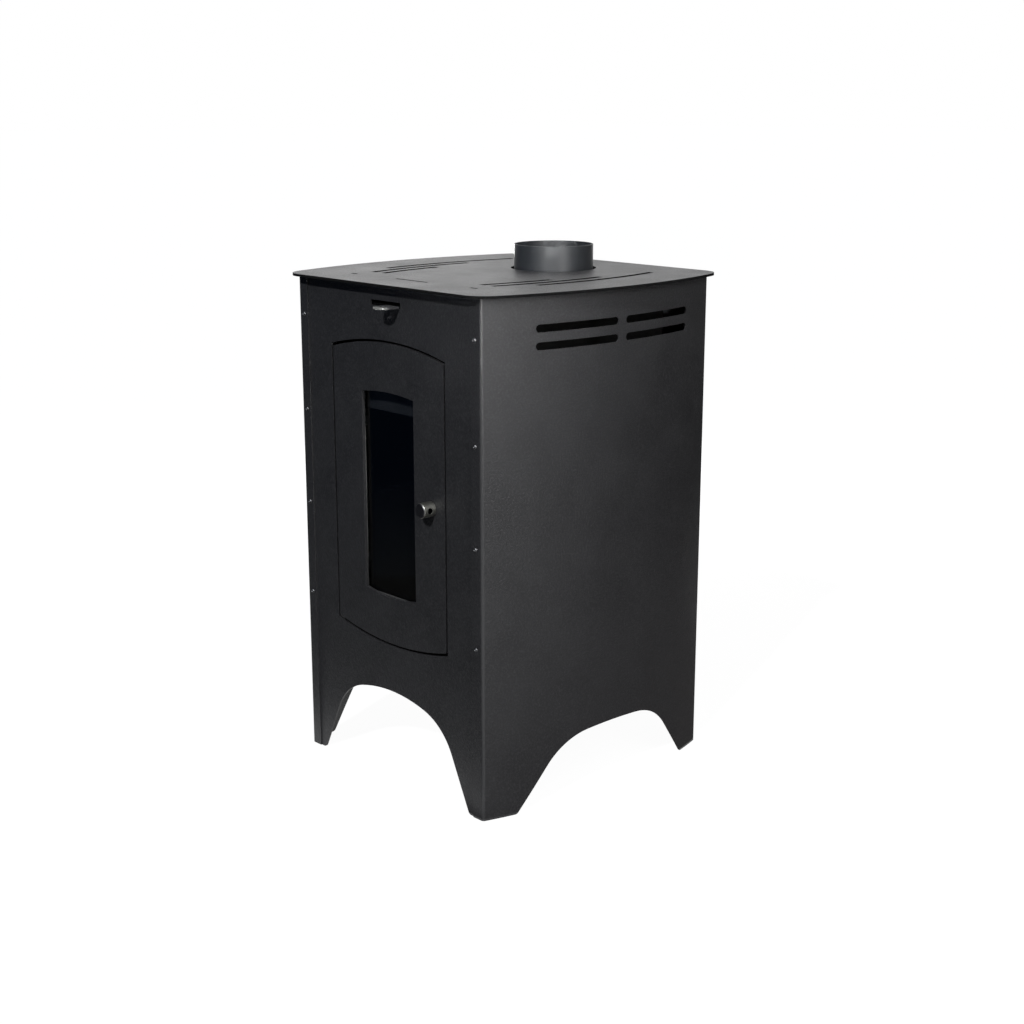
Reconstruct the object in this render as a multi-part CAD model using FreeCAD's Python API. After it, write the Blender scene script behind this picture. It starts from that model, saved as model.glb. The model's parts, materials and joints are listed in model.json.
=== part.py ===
import FreeCAD, Part
import math
import os

# Free-standing wood-burning heater: a bowed sheet casing on arched feet round a welded firebox.
# Millimetres. The origin is on the floor under the middle of the whole heater, +Z is up, the door faces -Y.
# Pieces are laid out about the middle of the casing and moved to the origin at the end.

V = FreeCAD.Vector
touch = 1e-6  # closer than this counts as touching
along_share = 0.999  # an edge runs along a direction when this much of its length does

# Casing
body_width = 428.0  # across the front, corner to corner
body_depth = 476.0  # front flange face to rear flange face
body_height = 779.0  # floor to the underside of the top plate
side_bow = 38.0  # how far each side swells out past its corners
corner_radius = 6.0  # outside bend of the upright corners
side_sheet = 2.0
front_sheet = 3.0
rear_sheet = 2.0
flange_width = 21.5  # side panel edges folded in over the front and rear panels
panel_edge_gap = 0.5  # between a panel's end and the bend beside it

# Arches that leave the feet standing
front_arch_height = 147.0
front_foot_width = 33.0  # corner to the arch, at the floor
front_arch_crown = 295.0  # radius of the crown
front_arch_lean = 25.5  # degrees that the foot's edge leans from upright
front_arch_shoulder = 100.0  # radius between foot and crown
side_arch_height = 111.0
side_foot_width = 55.0
side_arch_crown = 600.0
side_arch_lean = 38.0
side_arch_shoulder = 110.0
foot_round = 7.0  # rounded inner corner of each foot

# Vent slots high on the sides
vent_length = 152.0
vent_height = 11.5
vent_bridge = 16.0  # between the two slots of a row
vent_pitch = 25.3  # between the rows
vent_drop = 47.8  # upper row below the top of the side
vent_shift = 6.5  # middle of the rows, behind the middle of the side

# Top plate, with slits that follow the bow
top_thickness = 4.0
top_overhang = 15.5
top_corner_radius = 42.0
slit_width = 5.0  # straight slits along the front
bow_slit_width = 11.0
slit_inset = 72.0  # outermost slit, in from the side
slit_pitch = 24.0
outer_slit = (-92.0, 167.0)  # where each slit starts and ends, front to rear
middle_slit = (-149.0, 60.0)
inner_slit = (-148.0, -25.0)
front_slit_length = 74.0
front_slit_setback = 53.0  # behind the front flange face
end_slit_length = 15.0  # short slits beside the front one
end_slit_place = 140.0

# Flue collar
collar_diameter = 127.0
collar_wall = 2.0
collar_rise = 38.0  # above the top plate
collar_rear_gap = 129.0  # axis in front of the rear flange face
collar_gap = 5.0  # round it, in the top plate
pipe_stop = 4.0  # the roof's edge inside the collar, where a pipe stands

# Screws in the flanges
screw_count = 4  # up each flange
screw_pitch = 151.0
screw_drop = 59.5  # highest one below the top of the casing
screw_inset = 13.0  # in from the corner
screw_diameter = 4.0
screw_grip = 6.0  # past the panel
screw_head_diameter = 7.5
screw_head_height = 2.6
screw_hole_gap = 0.15
screw_sides = 8  # small screws and their holes have flat sides
dome_sections = ((1.0, 0.0), (0.8, 0.55), (0.35, 1.0))  # shares of a head's radius and height, rim to top

# Door
door_width = 262.0
door_bottom = 225.5  # lowest point of its bottom arc
door_drop = 85.0  # highest point of its top arc, below the top of the casing
door_rise = 17.0  # height of both arcs
door_corner = 3.0
door_gap = 3.8
door_plate_thickness = 5.0
door_angle = 95.0  # full opening, in degrees
window_side_margin = 69.5  # door plate left beside the window
window_end_margin = 74.0  # door plate left above and below it
window_bottom_rise = 6.5
window_top_rise = 4.5

# Glass
glass_lap = 6.0  # glass past the window's edge
glass_thickness = 4.0
glass_side_gap = 12.0  # to the rope channel
tape_thickness = 2.5
tape_setback = 2.0  # tape outside the window's sides
tape_end_show = 1.5  # tape showing inside the window's arcs
clamp_sheet = 2.0
clamp_width = 14.0
clamp_lap = 6.0  # over the glass
clamp_inset = 57.5  # from the ends of the glass
boss_width = 8.0
clamp_screw_diameter = 4.0
clamp_screw_depth = 5.0
clamp_head_diameter = 7.0
clamp_head_height = 2.4

# Rope seal
channel_sheet = 1.5
rope_width = 8.0
rope_thickness = 9.5
channel_depth = 9.0
seal_gap = 0.3  # rope to mouth frame

# Hinges
hinge_edge = 21.0  # axis in from the door's left edge
hinge_inset = 62.5  # hinges below the door's top and above its bottom
hinge_pin_diameter = 5.0
hinge_front_wall = 1.5  # lug between the pin and the door plate
hinge_eye_wall = 1.0  # bracket round the pin
hinge_lug_width = 12.0
hinge_lug_height = 14.0
hinge_lug_back = 2.5  # lug behind the pin
hinge_bracket_sheet = 6.0
hinge_bracket_gap = 3.0  # bracket beside the mouth frame
running_gap = 0.05  # round a shaft that turns
end_gap = 0.3  # along a shaft that turns
swing_gap = 2.0  # past the door's edge as it turns inwards

# Latch
latch_offset = 10.0  # spindle axis beyond the rope channel
knob_diameter = 23.0
knob_length = 22.0
knob_chamfer = 1.5
knob_hole_diameter = 9.0
knob_hole_depth = 11.0  # hole axis in front of the knob's seat
spindle_diameter = 12.0
spindle_square = 8.5
spindle_thread = 8.0
bush_diameter = 16.0
bush_rise = 9.0  # behind the door plate
cam_length = 24.0
cam_width = 13.0
cam_thickness = 5.0
washer_diameter = 18.0
washer_thickness = 1.5
nut_width = 13.0  # across the flats
nut_height = 6.5
thread_end = 2.5  # past the nut
keeper_sheet = 5.0
keeper_height = 30.0
keeper_gap = 1.5  # past the cam's tip
cam_clearance = 4.0  # keeper beside the released cam
cam_draw_gap = 0.4  # keeper in front of the latched cam

# Air control
slot_width = 70.0
slot_height = 9.0
slot_drop = 27.0  # middle of the slot below the top of the front panel
tongue_width = 30.0
tongue_reach = 30.0  # in front of the flange face
tongue_tip_radius = 12.0
tongue_hole_diameter = 10.0
tongue_hole_setback = 13.0  # behind the tip
tongue_end_gap = 1.0  # tongue to the slot's end
tongue_lift = 0.8  # over the slot's lower edge
slider_sheet = 3.0
slider_gap = 0.3
slider_land = 8.0  # plate past a port
port_length = 32.0
port_width = 12.0
guide_sheet = 3.0
guide_lip = 5.0
guide_tongue_gap = 8.0  # front guides beside the tongue's way
air_sheet = 2.0
air_box_lift = 8.0  # over the door opening
air_slot_count = 3
air_slot_length = 36.0
air_slot_width = 4.0
air_slot_pitch = 44.0
air_slot_inset = 2.5  # behind the mouth frame's edge

# Firebox
firebox_side_gap = 49.0  # in from the casing's corners
firebox_rear_gap = 44.0  # to the rear panel
firebox_sheet = 4.0
mouth_sheet = 4.0
lip_sheet = 2.0
lip_drop = 56.0  # air wash lip below the mouth frame
rail_clearance = 4.0  # over the front arch
rail_sheet = 3.0
rail_leg = 30.0
rail_height = 16.0
rail_inset = 25.0  # in from the firebox side
shield_sheet = 2.0
shield_edge_gap = 2.0
shield_end_gap = 20.0
foot_height = 14.0
foot_width = 22.0
foot_inset = 55.0  # in from the firebox sides and ends
brick_thickness = 25.0
brick_height = 230.0
brick_joint = 1.0
floor_column_count = 2
floor_row_count = 3
wall_brick_count = 3
rear_brick_count = 2
baffle_thickness = 6.0
baffle_lift = 14.0  # over the mouth
baffle_front_gap = 115.0  # way for the smoke, behind the firebox front
baffle_edge_gap = 1.0
ledge_leg = 20.0
ledge_sheet = 3.0

# Clips under the top plate
clip_leg = 18.0
clip_width = 30.0
clip_sheet = 2.0
clip_place = 150.0  # right and left of the middle

# Casing places
half_width = body_width / 2
half_depth = body_depth / 2
front_arch_foot = half_width - front_foot_width
side_arch_foot = half_depth - side_foot_width
bow_radius = (half_depth ** 2 + side_bow ** 2) / (2 * side_bow)
bow_x = half_width + side_bow - bow_radius
bend_y = half_depth - corner_radius
bend_x = bow_x + math.sqrt((bow_radius - corner_radius) ** 2 - bend_y ** 2)
flange_x = half_width - flange_width
panel_x = bend_x - panel_edge_gap
panel_front = -half_depth + side_sheet
panel_back = panel_front + front_sheet
rear_face = half_depth - side_sheet - rear_sheet
top_z = body_height + top_thickness
collar_y = half_depth - collar_rear_gap
screw_x = half_width - screw_inset
screw_heights = [body_height - screw_drop - i * screw_pitch for i in range(screw_count)]

# Door places
door_back = panel_front + door_plate_thickness
door_top = body_height - door_drop
door_middle = (door_bottom + door_top) / 2
window_x = door_width / 2 - window_side_margin
window_bottom = door_bottom + window_end_margin
window_top = door_top - window_end_margin
window_middle = (window_bottom + window_top) / 2
glass_x = window_x + glass_lap
glass_z = (window_top - window_bottom) / 2 + glass_lap
tape_back = door_back + tape_thickness
glass_back = tape_back + glass_thickness
channel_x = glass_x + glass_side_gap
channel_z = glass_z + glass_side_gap
channel_width = rope_width + 2 * channel_sheet
channel_back = door_back + channel_depth
boss_x = glass_x + glass_side_gap / 2
clamp_reach = glass_z - clamp_inset
clamp_heights = [window_middle - clamp_reach, window_middle + clamp_reach]
rope_back = door_back + channel_sheet + rope_thickness
seal_y = rope_back + seal_gap

# Hinge places
hinge_setback = door_plate_thickness + hinge_front_wall + hinge_pin_diameter / 2
axis_x = -door_width / 2 + hinge_edge
axis_y = panel_front + hinge_setback
hinge_heights = [door_bottom + hinge_inset, door_top - hinge_inset]
swing_radius = math.hypot(hinge_edge, hinge_setback)
firebox_front = axis_y + swing_radius + swing_gap

# Middle of the whole heater, between the tongue's tip and the plate's rear edge
middle_y = (top_overhang - tongue_reach) / 2

# Latch places
latch_x = channel_x + channel_width + latch_offset
bush_back = door_back + bush_rise
cam_front = bush_back + end_gap
cam_back = cam_front + cam_thickness

# Air control places
slot_z = body_height - slot_drop
slider_z = slot_z - slot_height / 2 + tongue_lift
slider_travel = slot_width - tongue_width - 2 * tongue_end_gap
tongue_x = (slot_width - tongue_width) / 2 - tongue_end_gap
air_top = slider_z - slider_gap
air_bottom = door_top + door_gap + air_box_lift
port_x = slider_travel
slider_left = port_x + port_length / 2 + slider_land
slider_right = slider_left + slider_travel
air_box_x = slider_right + end_gap + guide_sheet
slider_front = panel_back + guide_sheet + slider_gap
slider_rear = firebox_front - guide_sheet - slider_gap

# Firebox places
firebox_x = half_width - firebox_side_gap
firebox_inside_x = firebox_x - firebox_sheet
chamber_front = firebox_front + firebox_sheet
firebox_rear = rear_face - firebox_rear_gap
chamber_rear = firebox_rear - firebox_sheet
rail_z = front_arch_height + rail_clearance
shield_z = rail_z + rail_sheet
foot_z = shield_z + shield_sheet
floor_z = foot_z + foot_height
hearth_z = floor_z + firebox_sheet
bricks_z = hearth_z + brick_thickness
roof_z = air_top - firebox_sheet
mouth_x = channel_x + channel_width / 2 - mouth_sheet / 2
mouth_z = channel_z + channel_width / 2 - mouth_sheet / 2
mouth_top = window_middle + mouth_z
ledge_z = mouth_top + mouth_sheet + baffle_lift


def box(x0, x1, y0, y1, z0, z1):
    return Part.makeBox(x1 - x0, y1 - y0, z1 - z0, V(x0, y0, z0))


def rod(start, direction, radius, length):
    return Part.makeCylinder(radius, length, start, direction)


def prism(edges, along):
    return Part.Face(Part.Wire(edges)).extrude(along)


def mirrored(shape):
    return shape.mirror(V(0, 0, 0), V(1, 0, 0))


def straight_edges(shape, along, wanted):
    """Straight edges of a shape that run along a direction and whose middle is wanted."""
    found = []
    for edge in shape.Edges:
        span = edge.Vertexes[-1].Point - edge.Vertexes[0].Point
        if span.Length < touch or abs(span.dot(along)) < along_share * span.Length:
            continue
        if wanted(edge.CenterOfMass):
            found.append(edge)
    return found


def ring(half_x, middle_z, half_z, width, y0, y1):
    """Upright rectangular frame, given by its inside."""
    outer = box(-half_x - width, half_x + width, y0, y1, middle_z - half_z - width, middle_z + half_z + width)
    return outer.cut(box(-half_x, half_x, y0, y1, middle_z - half_z, middle_z + half_z))


def screw_outline(centre, radius):
    """Closed flat-sided outline, square to Y."""
    turns = [2 * math.pi * i / screw_sides for i in range(screw_sides)]
    corners = [centre + V(radius * math.cos(t), 0, radius * math.sin(t)) for t in turns]
    return Part.makePolygon(corners + corners[:1])


def peg(start, radius, length):
    """Flat-sided rod along Y, for a small screw or its hole."""
    return Part.Face(screw_outline(start, radius)).extrude(V(0, length, 0))


def domed_screw(seat, outward, head_diameter, head_height, diameter, length):
    """Screw whose domed head sits on a face, on the side that outward gives, and whose shank runs into it."""
    outlines = [screw_outline(seat + V(0, outward * up * head_height, 0), out * head_diameter / 2)
                for out, up in dome_sections]
    head = Part.makeLoft(outlines, True, True)
    return head.fuse(peg(seat, diameter / 2, -outward * length)).removeSplitter()


# Casing


def casing_outline(inset, bend):
    """Plan of the casing, inset from its outer face: straight ends, bowed sides, corners of radius bend."""
    end_y = half_depth - inset
    radius = bow_radius - inset
    turn_y = end_y - bend
    turn_x = bow_x + math.sqrt((radius - bend) ** 2 - turn_y ** 2)
    lean = math.asin(turn_y / (radius - bend))
    edges = []
    for sx, sy in ((1, -1), (1, 1), (-1, 1), (-1, -1)):
        on_end = V(sx * turn_x, sy * end_y, 0)
        on_bow = V(sx * (bow_x + radius * math.cos(lean)), sy * radius * math.sin(lean), 0)
        turn = (lean + math.pi / 2) / 2
        between = V(sx * (turn_x + bend * math.cos(turn)), sy * (turn_y + bend * math.sin(turn)), 0)
        edges.append(Part.Arc(on_end, between, on_bow).toShape())
        if sy * sx < 0:
            side = V(sx * (bow_x + radius), 0, 0)
            other = V(on_bow.x, -on_bow.y, 0)
            edges.append(Part.Arc(on_bow, side, other).toShape())
        else:
            edges.append(Part.makeLine(on_end, V(-on_end.x, on_end.y, 0)))
    return Part.Wire(Part.__sortEdges__(edges))


def casing_prism(inset, bend, z0, z1):
    solid = Part.Face(casing_outline(inset, bend)).extrude(V(0, 0, z1 - z0))
    solid.translate(V(0, 0, z0))
    return solid


def arch_cutter(place, along, foot, height, crown, lean, shoulder):
    """What is cut away between two feet: leaning edges, a round crown and rounded shoulders."""
    slope = math.tan(math.radians(lean))
    crown_z = height - crown
    # The leaning edge meets the crown where both hold the same point.
    a = slope ** 2 + 1
    b = foot * slope + crown_z
    c = foot ** 2 + crown_z ** 2 - crown ** 2
    meet_z = (b + math.sqrt(b ** 2 - a * c)) / a
    meet = foot - meet_z * slope
    below = foot_round
    wide = foot + below * slope
    edges = [
        Part.makeLine(place(-wide, -below), place(-meet, meet_z)),
        Part.Arc(place(-meet, meet_z), place(0, height), place(meet, meet_z)).toShape(),
        Part.makeLine(place(meet, meet_z), place(wide, -below)),
        Part.makeLine(place(wide, -below), place(-wide, -below)),
    ]
    cutter = prism(edges, along)
    corners = straight_edges(cutter, along * (1 / along.Length), lambda p: abs(p.z - meet_z) < touch)
    return cutter.makeFillet(shoulder, corners)


def front_arch(y0, y1):
    return arch_cutter(lambda s, z: V(s, y0, z), V(0, y1 - y0, 0), front_arch_foot, front_arch_height,
                       front_arch_crown, front_arch_lean, front_arch_shoulder)


def side_arch(x0, x1):
    return arch_cutter(lambda s, z: V(x0, s, z), V(x1 - x0, 0, 0), side_arch_foot, side_arch_height,
                       side_arch_crown, side_arch_lean, side_arch_shoulder)


def rounded_feet(shape, along, wanted):
    """Rounds the inner corners of the feet, at the floor."""
    corners = straight_edges(shape, along, lambda p: abs(p.z) < touch and wanted(p))
    return shape.makeFillet(foot_round, corners)


def flange_holes():
    """Screw holes through one side's flanges and the panels behind them."""
    radius = screw_diameter / 2 + screw_hole_gap
    return [peg(V(screw_x, -half_depth, z), radius, body_depth) for z in screw_heights]


def vent_slot(y, z):
    """One round-ended slot, through the side."""
    radius = vent_height / 2
    reach = side_bow + flange_width
    straight = vent_length / 2 - radius
    slot = box(flange_x, flange_x + reach, y - straight, y + straight, z - radius, z + radius)
    ends = [rod(V(flange_x, y + s * straight, z), V(1, 0, 0), radius, reach) for s in (-1, 1)]
    return slot.multiFuse(ends)


def right_side_panel():
    shell = casing_prism(0, corner_radius, 0, body_height)
    shell = shell.cut(casing_prism(side_sheet, corner_radius - side_sheet, 0, body_height))
    panel = shell.common(box(flange_x, bow_x + bow_radius, -half_depth, half_depth, 0, body_height))
    panel = panel.cut(side_arch(flange_x, bow_x + bow_radius))
    panel = rounded_feet(panel, V(1, 0, 0), lambda p: abs(p.y) < bend_y - corner_radius)
    upper = body_height - vent_drop
    step = (vent_length + vent_bridge) / 2
    slots = [vent_slot(vent_shift + s * step, upper - row * vent_pitch) for s in (-1, 1) for row in (0, 1)]
    return panel.cut(slots + flange_holes())


def plain_panel(y0, y1):
    """Flat end panel with its arch and its screw holes."""
    panel = box(-panel_x, panel_x, y0, y1, 0, body_height).cut(front_arch(y0, y1))
    panel = rounded_feet(panel, V(0, 1, 0), lambda p: abs(abs(p.x) - front_arch_foot) < foot_round)
    holes = flange_holes()
    return panel.cut(holes + [mirrored(hole) for hole in holes])


def front_panel():
    opening = arched_plate(door_width / 2 + door_gap, door_bottom - door_gap, door_top + door_gap,
                           door_rise, door_rise, panel_front, panel_back)
    slot = box(-slot_width / 2, slot_width / 2, panel_front, panel_back,
               slot_z - slot_height / 2, slot_z + slot_height / 2)
    return plain_panel(panel_front, panel_back).cut([opening, slot])


def rear_panel():
    return plain_panel(rear_face, rear_face + rear_sheet)


def flange_screws(outward, sheets):
    """All screws of the front or the rear flanges."""
    length = sheets + screw_grip
    return Part.makeCompound([
        domed_screw(V(s * screw_x, outward * half_depth, z), outward, screw_head_diameter,
                    screw_head_height, screw_diameter, length)
        for s in (-1, 1) for z in screw_heights])


def bow_slit(step, ends):
    """Slit in the top plate that runs along the bow of the right side."""
    radius = bow_radius - slit_inset - step * slit_pitch
    start = V(bow_x, 0, body_height)
    outer = rod(start, V(0, 0, 1), radius + bow_slit_width / 2, top_thickness)
    band = outer.cut(rod(start, V(0, 0, 1), radius - bow_slit_width / 2, top_thickness))
    return band.common(box(0, bow_x + bow_radius, ends[0], ends[1], body_height, top_z))


def top_plate():
    plate = casing_prism(-top_overhang, top_corner_radius, body_height, top_z)
    slits = [bow_slit(step, ends) for step, ends in enumerate((outer_slit, middle_slit, inner_slit))]
    slit_y = -half_depth + front_slit_setback
    short = end_slit_length / 2
    slits.append(box(end_slit_place - short, end_slit_place + short, slit_y - slit_width / 2,
                     slit_y + slit_width / 2, body_height, top_z))
    slits += [mirrored(slit) for slit in slits]
    slits.append(box(-front_slit_length / 2, front_slit_length / 2, slit_y - slit_width / 2,
                     slit_y + slit_width / 2, body_height, top_z))
    hole = rod(V(0, collar_y, body_height), V(0, 0, 1), collar_diameter / 2 + collar_gap, top_thickness)
    return plate.cut(slits + [hole])


def top_plate_clips():
    """Angles under the plate that hold it in place between the front and rear panels."""
    clips = []
    for x in (-clip_place, clip_place):
        left = x - clip_width / 2
        right = x + clip_width / 2
        for face, inward in ((panel_back, 1), (rear_face, -1)):
            near, far = sorted((face, face + inward * clip_leg))
            flat = box(left, right, near, far, body_height - clip_sheet, body_height)
            near, far = sorted((face, face + inward * clip_sheet))
            upright = box(left, right, near, far, body_height - clip_leg, body_height)
            clips.append(flat.fuse(upright).removeSplitter())
    return Part.makeCompound(clips)


# Firebox


def flue_collar():
    height = top_z + collar_rise - air_top
    foot = V(0, collar_y, air_top)
    tube = rod(foot, V(0, 0, 1), collar_diameter / 2, height)
    return tube.cut(rod(foot, V(0, 0, 1), collar_diameter / 2 - collar_wall, height))


def firebox_roof():
    roof = box(-firebox_x, firebox_x, chamber_front, firebox_rear, roof_z, air_top)
    radius = collar_diameter / 2 - collar_wall - pipe_stop
    return roof.cut(rod(V(0, collar_y, roof_z), V(0, 0, 1), radius, firebox_sheet))


def firebox_front_plate():
    plate = box(-firebox_x, firebox_x, firebox_front, chamber_front, floor_z, air_top)
    return plate.cut(box(-mouth_x, mouth_x, firebox_front, chamber_front,
                         window_middle - mouth_z, window_middle + mouth_z))


def firebox_right_wall():
    return box(firebox_inside_x, firebox_x, chamber_front, chamber_rear, hearth_z, roof_z)


def firebox_rear_wall():
    return box(-firebox_x, firebox_x, chamber_rear, firebox_rear, hearth_z, roof_z)


def firebox_floor():
    return box(-firebox_x, firebox_x, chamber_front, firebox_rear, floor_z, hearth_z)


def air_slot_places():
    return [(i - (air_slot_count - 1) / 2) * air_slot_pitch for i in range(air_slot_count)]


def mouth_frame():
    """Frame in front of the firebox that the door's rope closes on; air drops through its top."""
    frame = ring(mouth_x, window_middle, mouth_z, mouth_sheet, seal_y, firebox_front)
    slot_y = seal_y + air_slot_inset
    slots = [box(x - air_slot_length / 2, x + air_slot_length / 2, slot_y, slot_y + air_slot_width,
                 mouth_top, mouth_top + mouth_sheet) for x in air_slot_places()]
    return frame.cut(slots)


def air_wash_lip():
    lip_y = seal_y + air_slot_inset + air_slot_width
    return box(-mouth_x, mouth_x, lip_y, lip_y + lip_sheet, mouth_top - lip_drop, mouth_top)


def row_of_bricks(count, x0, x1, y0, y1, z0, z1, along_y):
    """Bricks side by side, a joint apart, in the space given."""
    bricks = []
    if along_y:
        size = (y1 - y0 - (count - 1) * brick_joint) / count
    else:
        size = (x1 - x0 - (count - 1) * brick_joint) / count
    for i in range(count):
        start = i * (size + brick_joint)
        if along_y:
            bricks.append(box(x0, x1, y0 + start, y0 + start + size, z0, z1))
        else:
            bricks.append(box(x0 + start, x0 + start + size, y0, y1, z0, z1))
    return bricks


def floor_brick_set():
    column = (2 * firebox_inside_x - (floor_column_count - 1) * brick_joint) / floor_column_count
    bricks = []
    for i in range(floor_column_count):
        x = -firebox_inside_x + i * (column + brick_joint)
        bricks += row_of_bricks(floor_row_count, x, x + column, chamber_front, chamber_rear,
                                hearth_z, bricks_z, True)
    return Part.makeCompound(bricks)


def right_brick_set():
    inner = firebox_inside_x - brick_thickness
    return Part.makeCompound(row_of_bricks(wall_brick_count, inner, firebox_inside_x, chamber_front,
                                           chamber_rear, bricks_z, bricks_z + brick_height, True))


def rear_brick_set():
    side = firebox_inside_x - brick_thickness - brick_joint
    face = chamber_rear - brick_thickness
    return Part.makeCompound(row_of_bricks(rear_brick_count, -side, side, face, chamber_rear,
                                           bricks_z, bricks_z + brick_height, False))


def right_baffle_ledge():
    start = chamber_front + baffle_front_gap
    flat = box(firebox_inside_x - ledge_leg, firebox_inside_x, start, chamber_rear,
               ledge_z, ledge_z + ledge_sheet)
    upright = box(firebox_inside_x - ledge_sheet, firebox_inside_x, start, chamber_rear,
                  ledge_z - ledge_leg, ledge_z + ledge_sheet)
    return flat.fuse(upright).removeSplitter()


def baffle():
    side = firebox_inside_x - baffle_edge_gap
    under = ledge_z + ledge_sheet
    return box(-side, side, chamber_front + baffle_front_gap, chamber_rear - baffle_edge_gap,
               under, under + baffle_thickness)


def right_support_rail():
    outer = firebox_x - rail_inset
    flat = box(outer - rail_leg, outer, panel_back, rear_face, rail_z, rail_z + rail_sheet)
    upright = box(outer - rail_sheet, outer, panel_back, rear_face, rail_z, rail_z + rail_height)
    return flat.fuse(upright).removeSplitter()


def base_shield():
    side = firebox_x - rail_inset - rail_sheet - shield_edge_gap
    return box(-side, side, panel_back + shield_end_gap, rear_face - shield_end_gap, shield_z, foot_z)


def firebox_feet():
    """Square spacers that keep the hot floor off the shield."""
    across = firebox_x - foot_inset
    ends = (chamber_front + foot_inset, firebox_rear - foot_inset)
    half = foot_width / 2
    return Part.makeCompound([box(x - half, x + half, y - half, y + half, foot_z, floor_z)
                              for x in (-across, across) for y in ends])


# Door


def arched_plate(half, bottom, top, bottom_rise, top_rise, y0, y1):
    """Upright plate with plain sides and with its top and bottom bowed outwards."""
    low = bottom + bottom_rise
    high = top - top_rise
    edges = [
        Part.Arc(V(-half, y0, low), V(0, y0, bottom), V(half, y0, low)).toShape(),
        Part.makeLine(V(half, y0, low), V(half, y0, high)),
        Part.Arc(V(half, y0, high), V(0, y0, top), V(-half, y0, high)).toShape(),
        Part.makeLine(V(-half, y0, high), V(-half, y0, low)),
    ]
    return prism(edges, V(0, y1 - y0, 0))


def door_plate():
    plate = arched_plate(door_width / 2, door_bottom, door_top, door_rise, door_rise, panel_front, door_back)
    plate = plate.makeFillet(door_corner, straight_edges(plate, V(0, 1, 0), lambda p: True))
    window = arched_plate(window_x, window_bottom, window_top, window_bottom_rise, window_top_rise,
                          panel_front, door_back)
    bush_hole = rod(V(latch_x, panel_front, door_middle), V(0, 1, 0), bush_diameter / 2, door_plate_thickness)
    return plate.cut([window, bush_hole])


def rope_channel():
    channel = ring(channel_x, window_middle, channel_z, channel_width, door_back, channel_back)
    return channel.cut(ring(channel_x + channel_sheet, window_middle, channel_z + channel_sheet, rope_width,
                            door_back + channel_sheet, channel_back))


def door_rope():
    return ring(channel_x + channel_sheet, window_middle, channel_z + channel_sheet, rope_width,
                door_back + channel_sheet, rope_back)


def glass_tape():
    inside = window_x + tape_setback
    inside_z = (window_top - window_bottom) / 2 - tape_end_show
    outer = box(-glass_x, glass_x, door_back, tape_back, window_middle - glass_z, window_middle + glass_z)
    return outer.cut(box(-inside, inside, door_back, tape_back,
                         window_middle - inside_z, window_middle + inside_z))


def door_glass():
    return box(-glass_x, glass_x, tape_back, glass_back, window_middle - glass_z, window_middle + glass_z)


def clamp_places():
    return [(s, z) for s in (-1, 1) for z in clamp_heights]


def clamp_bosses():
    """Square posts on the back of the door plate, beside the glass, each with a threaded hole."""
    bosses = []
    for s, z in clamp_places():
        post = box(s * boss_x - boss_width / 2, s * boss_x + boss_width / 2, door_back, glass_back,
                   z - boss_width / 2, z + boss_width / 2)
        thread = peg(V(s * boss_x, glass_back, z), clamp_screw_diameter / 2, -clamp_screw_depth)
        bosses.append(post.cut(thread))
    return Part.makeCompound(bosses)


def glass_clamps():
    """Plates that bridge from the posts to the glass."""
    clamps = []
    reach = boss_x + boss_width / 2
    radius = clamp_screw_diameter / 2 + screw_hole_gap
    for s, z in clamp_places():
        near, far = sorted((s * (glass_x - clamp_lap), s * reach))
        plate = box(near, far, glass_back, glass_back + clamp_sheet, z - clamp_width / 2, z + clamp_width / 2)
        hole = peg(V(s * boss_x, glass_back, z), radius, clamp_sheet)
        clamps.append(plate.cut(hole))
    return Part.makeCompound(clamps)


def clamp_screws():
    seat = glass_back + clamp_sheet
    return Part.makeCompound([
        domed_screw(V(s * boss_x, seat, z), 1, clamp_head_diameter, clamp_head_height,
                    clamp_screw_diameter, clamp_sheet + clamp_screw_depth) for s, z in clamp_places()])


# Hinges


def hinge_lug(z):
    """Block on the back of the door that turns on the pin, just over its bracket."""
    low = z + end_gap
    back = axis_y + hinge_pin_diameter / 2 + hinge_lug_back
    lug = box(axis_x - hinge_lug_width / 2, axis_x + hinge_lug_width / 2, door_back, back,
              low, low + hinge_lug_height)
    rear_edges = straight_edges(lug, V(0, 0, 1), lambda p: p.y > axis_y)
    lug = lug.makeFillet(hinge_lug_back, rear_edges)
    bore = rod(V(axis_x, axis_y, low), V(0, 0, 1), hinge_pin_diameter / 2 + running_gap, hinge_lug_height)
    return lug.cut(bore)


def hinge_bracket(z):
    """Arm from the firebox front to the pin, clear of the door's left edge when it is open."""
    eye_radius = hinge_pin_diameter / 2 + hinge_eye_wall
    past = math.radians(door_angle - 90)
    left = hinge_edge * math.sin(past) - (hinge_setback - door_plate_thickness) * math.cos(past) + swing_gap
    low = z - hinge_bracket_sheet
    corners = [
        V(axis_x - eye_radius, axis_y, low),
        V(axis_x, axis_y - eye_radius, low),
        V(-mouth_x - mouth_sheet - hinge_bracket_gap, firebox_front, low),
        V(axis_x + left, firebox_front, low),
    ]
    arm = Part.Face(Part.makePolygon(corners + corners[:1])).extrude(V(0, 0, hinge_bracket_sheet))
    eye = rod(V(axis_x, axis_y, low), V(0, 0, 1), eye_radius, hinge_bracket_sheet)
    bore = rod(V(axis_x, axis_y, low), V(0, 0, 1), hinge_pin_diameter / 2, hinge_bracket_sheet)
    return arm.fuse(eye).removeSplitter().cut(bore)


def hinge_pin(z):
    low = z - hinge_bracket_sheet
    return rod(V(axis_x, axis_y, low), V(0, 0, 1), hinge_pin_diameter / 2,
               hinge_bracket_sheet + end_gap + hinge_lug_height)


# Latch


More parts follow.
